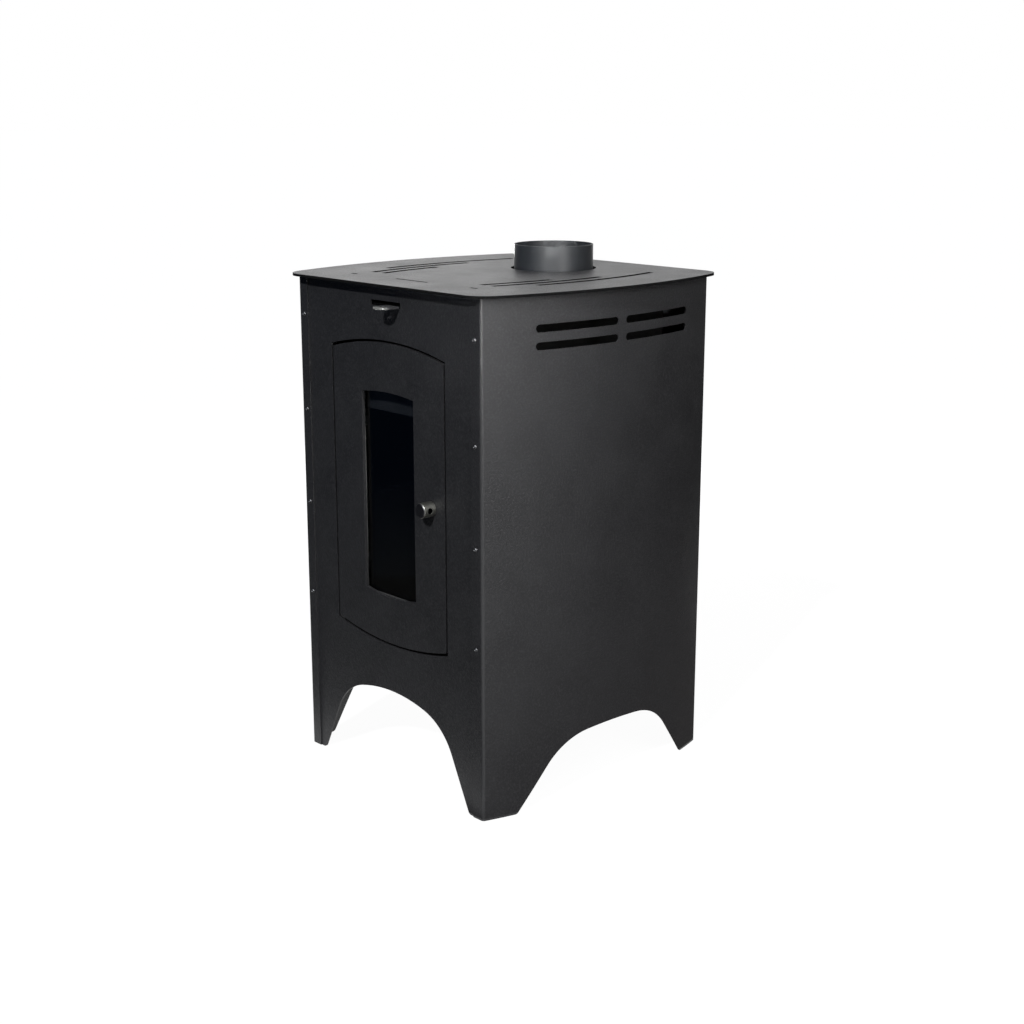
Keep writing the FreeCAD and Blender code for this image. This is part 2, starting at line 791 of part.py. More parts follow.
def latch_bush():
    bush = rod(V(latch_x, panel_front, door_middle), V(0, 1, 0), bush_diameter / 2, bush_back - panel_front)
    return bush.cut(rod(V(latch_x, panel_front, door_middle), V(0, 1, 0), spindle_diameter / 2 + running_gap,
                        bush_back - panel_front))


def latch_spindle():
    """Knob with a hole across it for a loose tool, its shaft, a square for the cam and a thread."""
    seat = panel_front - end_gap
    knob = rod(V(latch_x, seat - knob_length, door_middle), V(0, 1, 0), knob_diameter / 2, knob_length)
    front_edges = [e for e in knob.Edges if abs(e.CenterOfMass.y - seat + knob_length) < touch]
    knob = knob.makeChamfer(knob_chamfer, front_edges)
    cross = rod(V(latch_x - knob_diameter, seat - knob_hole_depth, door_middle), V(1, 0, 0),
                knob_hole_diameter / 2, 2 * knob_diameter)
    shaft = rod(V(latch_x, seat, door_middle), V(0, 1, 0), spindle_diameter / 2, cam_front - seat)
    square = box(latch_x - spindle_square / 2, latch_x + spindle_square / 2, cam_front, cam_back,
                 door_middle - spindle_square / 2, door_middle + spindle_square / 2)
    thread = rod(V(latch_x, cam_back, door_middle), V(0, 1, 0), spindle_thread / 2,
                 washer_thickness + nut_height + thread_end)
    return knob.cut(cross).multiFuse([shaft, square, thread]).removeSplitter()


def latch_cam():
    """Arm on the square, stored upwards: a quarter turn to the right brings it behind the keeper."""
    half = cam_width / 2
    hub = rod(V(latch_x, cam_front, door_middle), V(0, 1, 0), half, cam_thickness)
    arm = box(latch_x - half, latch_x + half, cam_front, cam_back, door_middle, door_middle + cam_length)
    hole = box(latch_x - spindle_square / 2, latch_x + spindle_square / 2, cam_front, cam_back,
               door_middle - spindle_square / 2, door_middle + spindle_square / 2)
    return hub.fuse(arm).removeSplitter().cut(hole)


def latch_washer():
    washer = rod(V(latch_x, cam_back, door_middle), V(0, 1, 0), washer_diameter / 2, washer_thickness)
    return washer.cut(rod(V(latch_x, cam_back, door_middle), V(0, 1, 0), spindle_thread / 2 + screw_hole_gap,
                          washer_thickness))


def latch_nut():
    seat = cam_back + washer_thickness
    corner = nut_width / 2 / math.cos(math.pi / 6)
    turns = [i * math.pi / 3 for i in range(6)]
    corners = [V(latch_x + corner * math.cos(t), seat, door_middle + corner * math.sin(t)) for t in turns]
    nut = Part.Face(Part.makePolygon(corners + corners[:1])).extrude(V(0, nut_height, 0))
    return nut.cut(rod(V(latch_x, seat, door_middle), V(0, 1, 0), spindle_thread / 2, nut_height))


def latch_keeper():
    """Hook on the firebox front that the latched cam pulls on."""
    near = latch_x + cam_width / 2 + cam_clearance
    web = latch_x + math.hypot(cam_length, cam_width / 2) + keeper_gap
    tab_back = cam_front - cam_draw_gap
    z0 = door_middle - keeper_height / 2
    z1 = door_middle + keeper_height / 2
    tab = box(near, web + keeper_sheet, tab_back - keeper_sheet, tab_back, z0, z1)
    upright = box(web, web + keeper_sheet, tab_back - keeper_sheet, firebox_front, z0, z1)
    return tab.fuse(upright).removeSplitter()


# Air control


def air_box():
    """Folded box under the slider, open towards the firebox front: ports above, a slot to the duct below."""
    outer = box(-air_box_x, air_box_x, panel_back, firebox_front, air_bottom, air_top)
    inside = box(-air_box_x + air_sheet, air_box_x - air_sheet, panel_back + air_sheet, firebox_front,
                 air_bottom + air_sheet, air_top - air_sheet)
    port_y = (slider_front + slider_rear) / 2
    ports = [box(s * port_x - port_length / 2, s * port_x + port_length / 2, port_y - port_width / 2,
                 port_y + port_width / 2, air_top - air_sheet, air_top) for s in (-1, 1)]
    duct = box(-duct_x() + air_sheet, duct_x() - air_sheet, seal_y + air_sheet, firebox_front,
               air_bottom, air_bottom + air_sheet)
    return outer.cut([inside, duct] + ports)


def duct_x():
    return air_slot_places()[-1] + air_slot_length / 2 + air_sheet


def air_duct():
    """Folded duct from the air box down to the slots in the mouth frame."""
    low = mouth_top + mouth_sheet
    outer = box(-duct_x(), duct_x(), seal_y, firebox_front, low, air_bottom)
    return outer.cut(box(-duct_x() + air_sheet, duct_x() - air_sheet, seal_y + air_sheet, firebox_front,
                         low, air_bottom))


def slider_guide(x0, x1, web0, web1, lip0, lip1):
    """Strip on the air box that holds down one edge of the slider."""
    lip_z = slider_z + slider_sheet + slider_gap
    web = box(x0, x1, web0, web1, air_top, lip_z + guide_sheet)
    lip = box(x0, x1, lip0, lip1, lip_z, lip_z + guide_sheet)
    return web.fuse(lip).removeSplitter()


def rear_slider_guide():
    return slider_guide(-air_box_x, air_box_x, firebox_front - guide_sheet, firebox_front,
                        firebox_front - guide_sheet - guide_lip, firebox_front)


def front_slider_guides():
    near = slot_width / 2 + guide_tongue_gap
    right = slider_guide(near, air_box_x, panel_back, panel_back + guide_sheet,
                         panel_back, panel_back + guide_sheet + guide_lip)
    return Part.makeCompound([right, mirrored(right)])


def air_slider():
    """Valve plate with two ports and the tongue that shows at the front, stored fully open."""
    plate = box(-slider_left, slider_right, slider_front, slider_rear, slider_z, slider_z + slider_sheet)
    tip = -half_depth - tongue_reach
    tongue = box(tongue_x - tongue_width / 2, tongue_x + tongue_width / 2, tip, slider_front,
                 slider_z, slider_z + slider_sheet)
    tip_edges = straight_edges(tongue, V(0, 0, 1), lambda p: p.y < tip + touch)
    tongue = tongue.makeFillet(tongue_tip_radius, tip_edges)
    hole = rod(V(tongue_x, tip + tongue_hole_setback, slider_z), V(0, 0, 1), tongue_hole_diameter / 2,
               slider_sheet)
    port_y = (slider_front + slider_rear) / 2
    ports = [box(s * port_x - port_length / 2, s * port_x + port_length / 2, port_y - port_width / 2,
                 port_y + port_width / 2, slider_z, slider_z + slider_sheet) for s in (-1, 1)]
    return plate.fuse(tongue).removeSplitter().cut([hole] + ports)


def both_sides(nodes, name, right):
    """Adds a right-hand piece and its mirror image."""
    nodes["right_" + name] = right
    nodes["left_" + name] = mirrored(right)


def heater():
    nodes = {
        "front_panel": front_panel(),
        "rear_panel": rear_panel(),
        "front_flange_screws": flange_screws(-1, side_sheet + front_sheet),
        "rear_flange_screws": flange_screws(1, side_sheet + rear_sheet),
        "top_plate": top_plate(),
        "top_plate_clips": top_plate_clips(),
        "flue_collar": flue_collar(),
        "firebox_roof": firebox_roof(),
        "firebox_front_plate": firebox_front_plate(),
        "firebox_rear_wall": firebox_rear_wall(),
        "firebox_floor": firebox_floor(),
        "mouth_frame": mouth_frame(),
        "air_wash_lip": air_wash_lip(),
        "floor_bricks": floor_brick_set(),
        "rear_bricks": rear_brick_set(),
        "baffle": baffle(),
        "base_shield": base_shield(),
        "firebox_feet": firebox_feet(),
        "door_plate": door_plate(),
        "rope_channel": rope_channel(),
        "door_rope": door_rope(),
        "glass_tape": glass_tape(),
        "door_glass": door_glass(),
        "glass_clamp_bosses": clamp_bosses(),
        "glass_clamps": glass_clamps(),
        "glass_clamp_screws": clamp_screws(),
        "latch_bush": latch_bush(),
        "latch_spindle": latch_spindle(),
        "latch_cam": latch_cam(),
        "latch_washer": latch_washer(),
        "latch_nut": latch_nut(),
        "latch_keeper": latch_keeper(),
        "air_box": air_box(),
        "air_duct": air_duct(),
        "rear_slider_guide": rear_slider_guide(),
        "front_slider_guides": front_slider_guides(),
        "air_slider": air_slider(),
    }
    both_sides(nodes, "side_panel", right_side_panel())
    both_sides(nodes, "firebox_wall", firebox_right_wall())
    both_sides(nodes, "bricks", right_brick_set())
    both_sides(nodes, "baffle_ledge", right_baffle_ledge())
    both_sides(nodes, "support_rail", right_support_rail())
    for level, z in zip(("lower", "upper"), hinge_heights):
        nodes[level + "_hinge_lug"] = hinge_lug(z)
        nodes[level + "_hinge_bracket"] = hinge_bracket(z)
        nodes[level + "_hinge_pin"] = hinge_pin(z)
    return nodes


os.makedirs("parts", exist_ok=True)
for node_name, node_shape in heater().items():
    node_shape.translate(V(0, -middle_y, 0))
    node_shape.exportStep("parts/" + node_name + ".step")
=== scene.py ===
import json
import math

import bmesh
import bpy
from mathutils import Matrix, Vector


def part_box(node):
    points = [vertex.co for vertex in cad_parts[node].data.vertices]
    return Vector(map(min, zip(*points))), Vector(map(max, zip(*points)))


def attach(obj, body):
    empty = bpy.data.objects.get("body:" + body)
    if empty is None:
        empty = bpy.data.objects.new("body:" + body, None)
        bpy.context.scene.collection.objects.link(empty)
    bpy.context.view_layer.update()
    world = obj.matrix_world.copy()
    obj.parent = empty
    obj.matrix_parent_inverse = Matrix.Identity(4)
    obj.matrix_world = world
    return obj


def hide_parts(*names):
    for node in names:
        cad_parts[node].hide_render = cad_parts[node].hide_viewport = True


# Looks of a free-standing wood-burning heater. Metres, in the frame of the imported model.

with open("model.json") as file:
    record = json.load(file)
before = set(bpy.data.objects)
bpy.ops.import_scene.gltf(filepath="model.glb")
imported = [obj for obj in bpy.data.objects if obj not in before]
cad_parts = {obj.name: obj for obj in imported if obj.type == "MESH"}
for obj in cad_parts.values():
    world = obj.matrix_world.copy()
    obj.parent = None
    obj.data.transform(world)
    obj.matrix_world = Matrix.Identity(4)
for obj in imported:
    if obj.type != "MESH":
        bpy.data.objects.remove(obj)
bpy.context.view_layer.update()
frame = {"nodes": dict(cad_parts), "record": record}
parts = frame["nodes"]
scene = bpy.context.scene

# Camera
camera_place = (1.8825, -1.7092, 1.0379)
camera_pitch = 14.145  # degrees down
camera_yaw = 47.339  # degrees from looking along +Y
camera_lens = 56.917
camera_sensor = 36.0

# Light
key_way = Vector((12, -30, 25))
key_strength = 3.6
key_colour = (0.94, 0.97, 1.0)
key_spread = 2.2  # degrees
ambient = 0.015
floor_size = 120.0
floor_glow = 0.5
floor_level = 1.92
floor_albedo = 0.12
flag_lift = 0.003  # of a flag that lies on the floor

# Paint
paint_gloss = 0.42
edge_gloss = 0.04  # cut edges of the top plate
edge_rough = 0.85
bend_smoothing = 0.10  # taken off the roughness at upright bends

# Latch knob
knob_low, knob_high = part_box("latch_spindle")
knob_radius = (knob_high.x - knob_low.x) / 2
knob_skin = (0.0009, 0.0004)  # under its round face, from the painted shade of end face and hole to bare steel
knob_shade_depths = (0.0005, 0.0015)  # behind its end face, from that face's painted shade to the hole's darker painted shade

# Air control
flange_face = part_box("right_side_panel")[0].y
tongue_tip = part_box("air_slider")[0].y
tongue_highlight = (0.014, 0.001)  # behind its tip, from the dark sheet to a painted highlight
painted_shade_depth = 0.002  # behind the flange face, where the sheet is painted black as shade inside the slot

# Screws
head_radius = 0.00375
head_height = 0.0026
shank_radius = 0.0020
clamp_head_radius = 0.0035
clamp_head_height = 0.0024
# Shares of a head's radius and height, from its rim to its top, and those of its socket's rim and bottom
head_profile = ((1.0, 0.16), (0.94, 0.42), (0.80, 0.70), (0.60, 0.90), (0.44, 1.0))
socket_share = 0.36  # to the flats
socket_heights = (0.97, 0.45)
screw_rows = 4
round_steps = 24

# Rope seal
rope_width = 0.008
rope_corner = 0.012
rope_corner_steps = 10
rope_step = 0.0015
rope_sides = 16
rope_square = 0.75  # under 1, its section is squarer than an ellipse
rope_strands = 3
braid_pitch = 0.009
braid_height = 0.0005
rope_shade = 0.048

# Glass tape
tape_side = 0.004
tape_end = 0.0075
tape_round = 0.0006
tape_round_steps = 3
tape_shade = 0.03
# Painted light: the tape is paler between these heights and behind its front face, standing in for light
# falling on it
tape_painted_light_grey = 0.24
tape_painted_light_bottom = (0.0415, 0.0765)  # above its lower end, from dark to painted light
tape_painted_light_top = (0.061, 0.086)  # below its upper end
tape_painted_light_back = (0.0014, 0.0017)  # behind its front face, which stays dark as painted shade

# Collar seam
collar_wall = 0.002
seam_turn = math.radians(102.6)
seam_width = 0.0045
seam_height = 0.0009
seam_ripple = 0.0030
seam_swell = 0.15  # half of the ripple, as a share of its height
seam_rows = 90
seam_columns = 8
seam_skirt = 0.0002  # its edges, under the wall's face
seam_root = 0.0006  # its back, under the wall's face
seam_top_gap = 0.001

# Worn edges of the bricks
brick_edge = 0.0018
brick_edge_steps = 2
brick_edge_angle = math.radians(40)
weld_gap = 1e-6
flat_angle = math.radians(0.2)

# Sockets of a colour mix node, which share their names with those of its other kinds
mix_share = 0
mix_first = 6
mix_second = 7
mix_result = 2


class Shader:
    """A Principled material whose inputs are fed by procedural nodes in object coordinates."""

    def __init__(self, name):
        self.material = bpy.data.materials.new(name)
        self.material.use_nodes = True
        self.tree = self.material.node_tree
        self.bsdf = self.tree.nodes["Principled BSDF"]
        self.place = self.node("ShaderNodeTexCoord").outputs["Object"]

    def node(self, kind, **settings):
        """New node with the given settings."""
        made = self.tree.nodes.new(kind)
        for key, value in settings.items():
            setattr(made, key, value)
        return made

    def link(self, source, target):
        self.tree.links.new(source, target)

    def noise(self, scale, detail=2.0, roughness=0.5, stretch=(1, 1, 1)):
        """Noise value, about 0 to 1, with features 1 / scale metres across."""
        mapping = self.node("ShaderNodeMapping")
        mapping.inputs["Scale"].default_value = stretch
        self.link(self.place, mapping.inputs["Vector"])
        noise = self.node("ShaderNodeTexNoise")
        noise.inputs["Scale"].default_value = scale
        noise.inputs["Detail"].default_value = detail
        noise.inputs["Roughness"].default_value = roughness
        self.link(mapping.outputs["Vector"], noise.inputs["Vector"])
        return noise.outputs["Fac"]

    def span(self, value, low, high, start=0.3, end=0.7):
        """The value's start to end, spread from low to high."""
        spread = self.node("ShaderNodeMapRange")
        spread.inputs["From Min"].default_value = start
        spread.inputs["From Max"].default_value = end
        spread.inputs["To Min"].default_value = low
        spread.inputs["To Max"].default_value = high
        self.link(value, spread.inputs["Value"])
        return spread.outputs["Result"]

    def blend(self, value, first, second):
        """Colour between two colours, or colour sockets, by a value from 0 to 1."""
        mix = self.node("ShaderNodeMix", data_type="RGBA")
        self.link(value, mix.inputs[mix_share])
        for socket, colour in ((mix.inputs[mix_first], first), (mix.inputs[mix_second], second)):
            if isinstance(colour, tuple):
                socket.default_value = (*colour, 1.0)
            else:
                self.link(colour, socket)
        return mix.outputs[mix_result]

    def sum(self, first, second, share):
        """First value plus a share of the second."""
        add = self.node("ShaderNodeMath", operation="MULTIPLY_ADD")
        self.link(second, add.inputs[0])
        add.inputs[1].default_value = share
        self.link(first, add.inputs[2])
        return add.outputs["Value"]

    def product(self, first, second):
        """Product of two values."""
        times = self.node("ShaderNodeMath", operation="MULTIPLY")
        self.link(first, times.inputs[0])
        self.link(second, times.inputs[1])
        return times.outputs["Value"]

    def facing(self):
        """X, Y and Z of the piece's own normal, which turns with the piece."""
        split = self.node("ShaderNodeSeparateXYZ")
        self.link(self.node("ShaderNodeTexCoord").outputs["Normal"], split.inputs["Vector"])
        return split.outputs

    def flat(self):
        """1 on level faces, 0 on upright ones."""
        upward = self.node("ShaderNodeMath", operation="ABSOLUTE")
        self.link(self.facing()["Z"], upward.inputs[0])
        return self.span(upward.outputs["Value"], 0.0, 1.0, 0.4, 0.6)

    def bend(self):
        """1 on upright bends, 0 on faces that look along X or Y."""
        normal = self.facing()
        turned = self.node("ShaderNodeMath", operation="ABSOLUTE")
        self.link(self.product(normal["X"], normal["Y"]), turned.inputs[0])
        return self.span(turned.outputs["Value"], 0.0, 1.0, 0.27, 0.45)

    def along(self, axis, start, end):
        """0 to 1 between two places on an axis of the piece."""
        split = self.node("ShaderNodeSeparateXYZ")
        self.link(self.place, split.inputs["Vector"])
        return self.span(split.outputs[axis], 0.0, 1.0, start, end)

    def round_y(self, centre, start, end):
        """0 to 1 between two distances from a line along Y."""
        away = self.node("ShaderNodeMapping")
        away.inputs["Location"].default_value = (-centre.x, 0.0, -centre.z)
        away.inputs["Scale"].default_value = (1.0, 0.0, 1.0)
        self.link(self.place, away.inputs["Vector"])
        reach = self.node("ShaderNodeVectorMath", operation="LENGTH")
        self.link(away.outputs["Vector"], reach.inputs[0])
        return self.span(reach.outputs["Value"], 0.0, 1.0, start, end)

    def colour(self, socket):
        self.link(socket, self.bsdf.inputs["Base Color"])

    def rough(self, socket):
        self.link(socket, self.bsdf.inputs["Roughness"])

    def bump(self, height, distance, edge_radius=0.0):
        """Relief of the given height, over edges rounded by the edge radius."""
        bump = self.node("ShaderNodeBump")
        bump.inputs["Strength"].default_value = 1.0
        bump.inputs["Distance"].default_value = distance
        self.link(height, bump.inputs["Height"])
        if edge_radius:
            edge = self.node("ShaderNodeBevel", samples=6)
            edge.inputs["Radius"].default_value = edge_radius
            self.link(edge.outputs["Normal"], bump.inputs["Normal"])
        self.link(bump.outputs["Normal"], self.bsdf.inputs["Normal"])


# Materials


def heat_paint(name, cut_edges=False):
    """Fine-textured matt charcoal stove paint, smoother at upright bends, where a lighter grey is a
    painted highlight.

    With cut_edges, for a flat plate: its upright cut edges are darker and rougher.
    """
    s = Shader(name)
    grain = s.noise(330, 3.0, 0.6)
    cloud = s.noise(14, 3.0)
    base = s.blend(s.span(cloud, 0.0, 1.0), (0.0104, 0.0103, 0.0112), (0.0124, 0.0123, 0.0133))
    paint = s.blend(s.span(grain, 0.0, 1.0, 0.46, 0.72), base, (0.0220, 0.0218, 0.0230))
    gloss = s.bsdf.inputs["Specular IOR Level"]
    gloss.default_value = paint_gloss
    if cut_edges:
        flat = s.flat()
        paint = s.blend(flat, (0.0050, 0.0050, 0.0052), paint)
        rough = s.product(flat, s.span(cloud, 0.38, 0.45))
        rough = s.sum(s.span(flat, edge_rough, 0.0, 0.0, 1.0), rough, 1.0)
        s.link(s.span(flat, edge_gloss, paint_gloss, 0.0, 1.0), gloss)
    else:
        # Painted highlight: upright bends get a lighter grey, standing in for the light line along them
        bend = s.bend()
        paint = s.blend(bend, paint, (0.024, 0.024, 0.025))
        rough = s.sum(s.span(cloud, 0.42, 0.50), bend, -bend_smoothing)
    s.colour(paint)
    s.rough(rough)
    s.bump(s.sum(grain, s.noise(1300, 2.0), 0.3), 0.00065, edge_radius=0.0004)
    return s.material


def collar_paint():
    """Satin blue-grey paint over a rolled tube."""
    s = Shader("collar_look")
    streak = s.noise(60, 4.0, 0.6, (6, 6, 0.6))
    grain = s.noise(1200, 2.0)
    s.colour(s.blend(s.span(streak, 0.0, 1.0), (0.0080, 0.0090, 0.0106), (0.0125, 0.0138, 0.0158)))
    s.rough(s.span(streak, 0.36, 0.44))
    s.bump(s.sum(grain, streak, 0.5), 0.00008, edge_radius=0.0006)
    return s.material


def plate_steel():
    """Heat-darkened plate of the firebox."""
    s = Shader("plate_look")
    cloud = s.noise(18, 4.0, 0.6)
    grain = s.noise(700, 3.0)
    base = s.blend(s.span(cloud, 0.0, 1.0), (0.0028, 0.0028, 0.0028), (0.0050, 0.0049, 0.0048))
    s.colour(s.blend(s.span(grain, 0.0, 0.5, 0.5, 0.8), base, (0.0080, 0.0078, 0.0075)))
    s.rough(s.span(cloud, 0.65, 0.80))
    s.bsdf.inputs["Specular IOR Level"].default_value = 0.12
    s.bump(grain, 0.00015, edge_radius=0.0006)
    return s.material


def lip_steel():
    """Bare sheet of the air wash, less sooted than the firebox."""
    s = Shader("lip_look")
    cloud = s.noise(30, 3.0)
    grain = s.noise(700, 2.0)
    s.colour(s.blend(s.span(cloud, 0.0, 1.0), (0.056, 0.056, 0.056), (0.072, 0.072, 0.072)))
    s.rough(s.span(cloud, 0.50, 0.62))
    s.bump(grain, 0.00010, edge_radius=0.0006)
    return s.material


def bright_steel():
    """Bare turned steel."""
    s = Shader("bright_steel_look")
    streak = s.noise(500, 3.0, 0.6, (1, 8, 1))
    cloud = s.noise(90, 2.0)
    s.bsdf.inputs["Metallic"].default_value = 1.0
    s.colour(s.blend(s.span(cloud, 0.0, 1.0), (0.24, 0.235, 0.23), (0.34, 0.335, 0.33)))
    s.rough(s.span(streak, 0.30, 0.45))
    s.bump(streak, 0.00005, edge_radius=0.0005)
    return s.material


def knob_steel():
    """Turned steel knob; its end face is painted darker and its cross hole near black, as painted shade.
    """
    s = Shader("knob_look")
    streak = s.noise(500, 3.0, 0.6, (1, 8, 1))
    cloud = s.noise(90, 2.0)
    skin = s.round_y((knob_low + knob_high) / 2, *(knob_radius - depth for depth in knob_skin))
    steel = s.blend(s.span(cloud, 0.0, 1.0), (0.16, 0.16, 0.145), (0.23, 0.23, 0.21))
    hole = s.along("Y", *(knob_low.y + depth for depth in knob_shade_depths))
    # Painted shade: a dark grey end face and a near-black cross hole
    inner = s.blend(hole, (0.070, 0.068, 0.073), (0.010, 0.010, 0.010))
    s.bsdf.inputs["Metallic"].default_value = 1.0
    s.colour(s.blend(skin, inner, steel))
    s.rough(s.span(streak, 0.38, 0.50))
    s.bump(streak, 0.00005, edge_radius=0.0005)
    return s.material


def screw_steel():
    """Blackened screw heads."""
    s = Shader("screw_look")
    cloud = s.noise(700, 3.0)
    s.bsdf.inputs["Metallic"].default_value = 1.0
    s.colour(s.blend(s.span(cloud, 0.0, 1.0), (0.070, 0.070, 0.074), (0.120, 0.120, 0.124)))
    s.rough(s.span(cloud, 0.34, 0.48))
    s.bump(cloud, 0.00004)
    return s.material


def slider_steel():
    """Sheet of the air control: a painted highlight at the tongue's tip, painted black as shade inside
    the heater.
    """
    s = Shader("slider_look")
    cloud = s.noise(40, 3.0)
    grain = s.noise(900, 2.0)
    sheet = s.blend(s.span(cloud, 0.0, 1.0), (0.026, 0.026, 0.028), (0.040, 0.040, 0.042))
    # Painted highlight: the tongue's tip is a lighter grey
    painted_highlight = s.along("Y", *(tongue_tip + reach for reach in tongue_highlight))
    sheet = s.blend(painted_highlight, sheet, (0.17, 0.17, 0.16))
    # Painted shade: the sheet inside the slot is near black
    painted_shade = s.along("Y", flange_face, flange_face + painted_shade_depth)
    s.colour(s.blend(painted_shade, sheet, (0.0015, 0.0015, 0.0015)))
    s.rough(s.sum(s.span(cloud, 0.34, 0.44), painted_shade, 0.5))
    s.link(s.span(painted_shade, 0.5, 0.05, 0.0, 1.0), s.bsdf.inputs["Specular IOR Level"])
    s.bump(grain, 0.00010, edge_radius=0.0010)
    return s.material


def glass():
    """Smoked glass-ceramic."""
    s = Shader("glass_look")
    smear = s.noise(20, 3.0)
    s.bsdf.inputs["Transmission Weight"].default_value = 1.0
    s.bsdf.inputs["IOR"].default_value = 1.5
    s.colour(s.blend(s.span(smear, 0.0, 1.0), (0.100, 0.111, 0.126), (0.115, 0.126, 0.142)))
    s.rough(s.span(smear, 0.015, 0.04))
    return s.material


def woven(s, weave, cloud, shade):
    """Colour of woven glass fibre of a given shade of grey."""
    dark, mid, pale = ((share * shade, share * shade, 0.97 * share * shade) for share in (0.5, 0.75, 1.0))
    base = s.blend(s.span(cloud, 0.0, 1.0), mid, pale)
    return s.blend(s.span(weave, 0.0, 1.0), dark, base)


def fibre(name, shade, painted_light_grey=0.0, painted_light_spans=()):
    """Woven glass fibre of a shade of grey, paler inside spans as painted light; each span is an axis, a
    start and an end.
    """
    s = Shader(name)
    weave = s.noise(1500, 2.0)
    cloud = s.noise(80, 3.0)
    colour = woven(s, weave, cloud, shade)
    if painted_light_spans:
        painted_light = s.along(*painted_light_spans[0])
        for span in painted_light_spans[1:]:
            painted_light = s.product(painted_light, s.along(*span))
        colour = s.blend(painted_light, colour, woven(s, weave, cloud, painted_light_grey))
    s.colour(colour)
    s.bsdf.inputs["Roughness"].default_value = 0.9
    s.bump(weave, 0.0004)
    return s.material


def brick():
    """Pressed refractory brick, darkened by heat."""
    s = Shader("brick_look")
    cloud = s.noise(22, 4.0, 0.6)
    grain = s.noise(420, 4.0, 0.65)
    base = s.blend(s.span(cloud, 0.0, 1.0), (0.038, 0.035, 0.030), (0.058, 0.053, 0.045))
    s.colour(s.blend(s.span(grain, 0.0, 0.8, 0.5, 0.75), base, (0.024, 0.022, 0.020)))
    s.bsdf.inputs["Roughness"].default_value = 0.92
    s.bump(grain, 0.0006)
    return s.material


looks = {
    "heat_paint": heat_paint("heat_paint_look"),
    "collar_steel": collar_paint(),
    "plate_steel": plate_steel(),
    "bright_steel": bright_steel(),
    "slider_steel": slider_steel(),
    "door_glass": glass(),
    "rope_fibre": fibre("rope_look", rope_shade),
    "fire_brick": brick(),
}
blackened = screw_steel()
own_looks = {
    "air_wash_lip": lip_steel(),
    "latch_spindle": knob_steel(),
    "top_plate": heat_paint("top_plate_look", cut_edges=True),
}
for subpart in frame["record"]["subparts"]:
    node = subpart["node"]
    for material_slot in parts[node].material_slots:
        material_slot.material = own_looks.get(node, looks[subpart["material_slot"]])

# The thin pane lets lamp light through to the firebox
parts["door_glass"].visible_shadow = False


# Worn edges of the bricks


def round_edges(piece, width, segments):
    """Bevel on a piece's sharp edges."""
    edge = piece.modifiers.new("edges", "BEVEL")
    edge.width = width
    edge.segments = segments
    edge.limit_method = "ANGLE"
    edge.harden_normals = True
    return edge


def soften(node):
    """Rounds the sharp edges of a packed brick."""
    piece = parts[node]
    weld = piece.modifiers.new("joined", "WELD")
    weld.merge_threshold = weld_gap
    flat = piece.modifiers.new("flat", "DECIMATE")
    flat.decimate_type = "DISSOLVE"
    flat.angle_limit = flat_angle
    round_edges(piece, brick_edge, brick_edge_steps).angle_limit = brick_edge_angle


for brick_node in ("floor_bricks", "rear_bricks", "right_bricks", "left_bricks"):
    soften(brick_node)


# Pieces made here


def new_piece(name, mesh_from, body, slot, look=None):
    """Object from a filled bmesh, riding on a body, with its slot's finish or a look of its own."""
    mesh = bpy.data.meshes.new(name)
    mesh_from.normal_update()
    mesh_from.to_mesh(mesh)
    mesh_from.free()
    piece = bpy.data.objects.new(name, mesh)
    scene.collection.objects.link(piece)
    mesh.materials.append(look or looks[slot])
    for face in mesh.polygons:
        face.use_smooth = True
    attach(piece, body)
    return piece


def bridge(bm, rings, closed_along=False):
    """Faces between rings of vertices, each ring closed on itself."""
    pairs = list(zip(rings, rings[1:]))
    if closed_along:
        pairs.append((rings[-1], rings[0]))
    for low, high in pairs:
        for i in range(len(low)):
            j = (i + 1) % len(low)
            bm.faces.new((low[i], low[j], high[j], high[i]))


def screw_ring(bm, seat, rise, radius, hexagon=False):
    """Ring of vertices round Y, a rise from the seat; a hexagon is given by the radius to its flats."""
    ring = []
    for i in range(round_steps):
        turn = 2 * math.pi * i / round_steps
        out = radius
        if hexagon:
            out /= math.cos((turn + math.pi / 6) % (math.pi / 3) - math.pi / 6)
        ring.append(bm.verts.new(seat + Vector((out * math.cos(turn), rise, out * math.sin(turn)))))
    return ring


def add_screw(bm, seat, outward, radius, height, length):
    """Domed screw along Y with a hexagon socket."""
    profile = [(shank_radius, -length), (shank_radius, 0.0), (radius, 0.0)]
    profile += [(out * radius, up * height) for out, up in head_profile]
    rings = [screw_ring(bm, seat, outward * up, out) for out, up in profile]
    for up in socket_heights:
        rings.append(screw_ring(bm, seat, outward * up * height, socket_share * radius, hexagon=True))
    bridge(bm, rings)
    bm.faces.new(rings[0])
    bm.faces.new(rings[-1])


def flange_screws(node, outward):
    """All screws of the front or rear flanges."""
    low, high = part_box(node)
    seat_y = low.y + head_height if outward < 0 else high.y - head_height
    tail_y = high.y if outward < 0 else low.y
    bm = bmesh.new()
    for x in (low.x + head_radius, high.x - head_radius):
        for row in range(screw_rows):
            z = low.z + head_radius + (high.z - low.z - 2 * head_radius) * row / (screw_rows - 1)
            seat = Vector((x, seat_y, z))
            add_screw(bm, seat, outward, head_radius, head_height, abs(tail_y - seat_y))
    bmesh.ops.recalc_face_normals(bm, faces=bm.faces)
    piece = new_piece(node + "_look", bm, "base", "bright_steel", blackened)
    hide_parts(node)


def glass_screws():
    """Screws of the glass clamps, on the back of the door."""
    low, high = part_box("glass_clamp_screws")
    bm = bmesh.new()
    for x in (low.x + clamp_head_radius, high.x - clamp_head_radius):
        for z in (low.z + clamp_head_radius, high.z - clamp_head_radius):
            seat = Vector((x, high.y - clamp_head_height, z))
            add_screw(bm, seat, 1, clamp_head_radius, clamp_head_height, seat.y - low.y)
    bmesh.ops.recalc_face_normals(bm, faces=bm.faces)
    piece = new_piece("glass_clamp_screws_look", bm, "door", "bright_steel")
    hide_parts("glass_clamp_screws")


